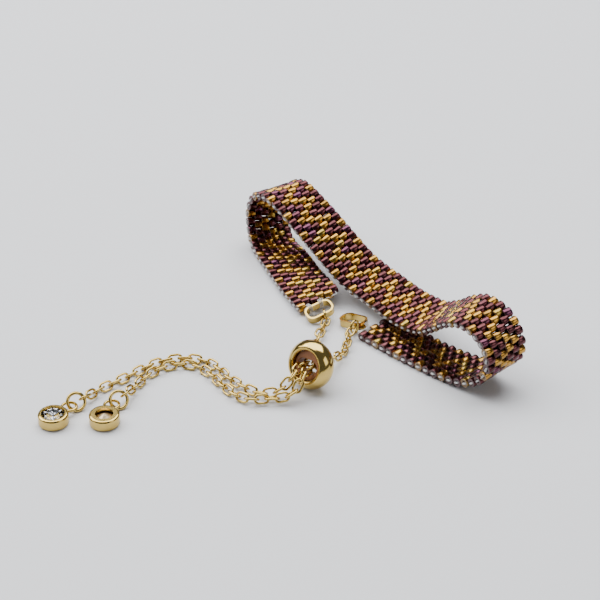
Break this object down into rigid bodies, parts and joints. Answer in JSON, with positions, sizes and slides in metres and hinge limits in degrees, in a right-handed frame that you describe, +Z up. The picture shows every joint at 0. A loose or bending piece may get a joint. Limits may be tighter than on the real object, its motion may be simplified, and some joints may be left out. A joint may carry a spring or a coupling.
{
  "type": "beaded band bracelet with slider ball and crystal drops",
  "caption": "Flat woven bead band lying loosely folded, closed by fine chains that run through a slider ball to two round crystal drops.",
  "frame": {"origin": "on the surface it lies on, under the middle of the whole bracelet as it lies", "axes": "+Z up, +X from the drops towards the far fold of the band, +Y away from the front view"},
  "size_m": [0.0808, 0.065, 0.0147],
  "materials": {
    "beads": "metallic glaze",
    "gold": "polished",
    "rubber": "satin",
    "crystal": "faceted, clear"
  },
  "bodies": {
    "root": {"band": "beads", "end_ring_a": "gold", "end_ring_b": "gold", "chain_a": "gold", "chain_b": "gold", "slider_ball": "gold", "slider_core": "rubber", "setting_a": "gold", "setting_b": "gold", "stone_a": "crystal", "stone_b": "crystal", "jump_ring_a": "gold", "jump_ring_b": "gold"}
  },
  "joints": []
}
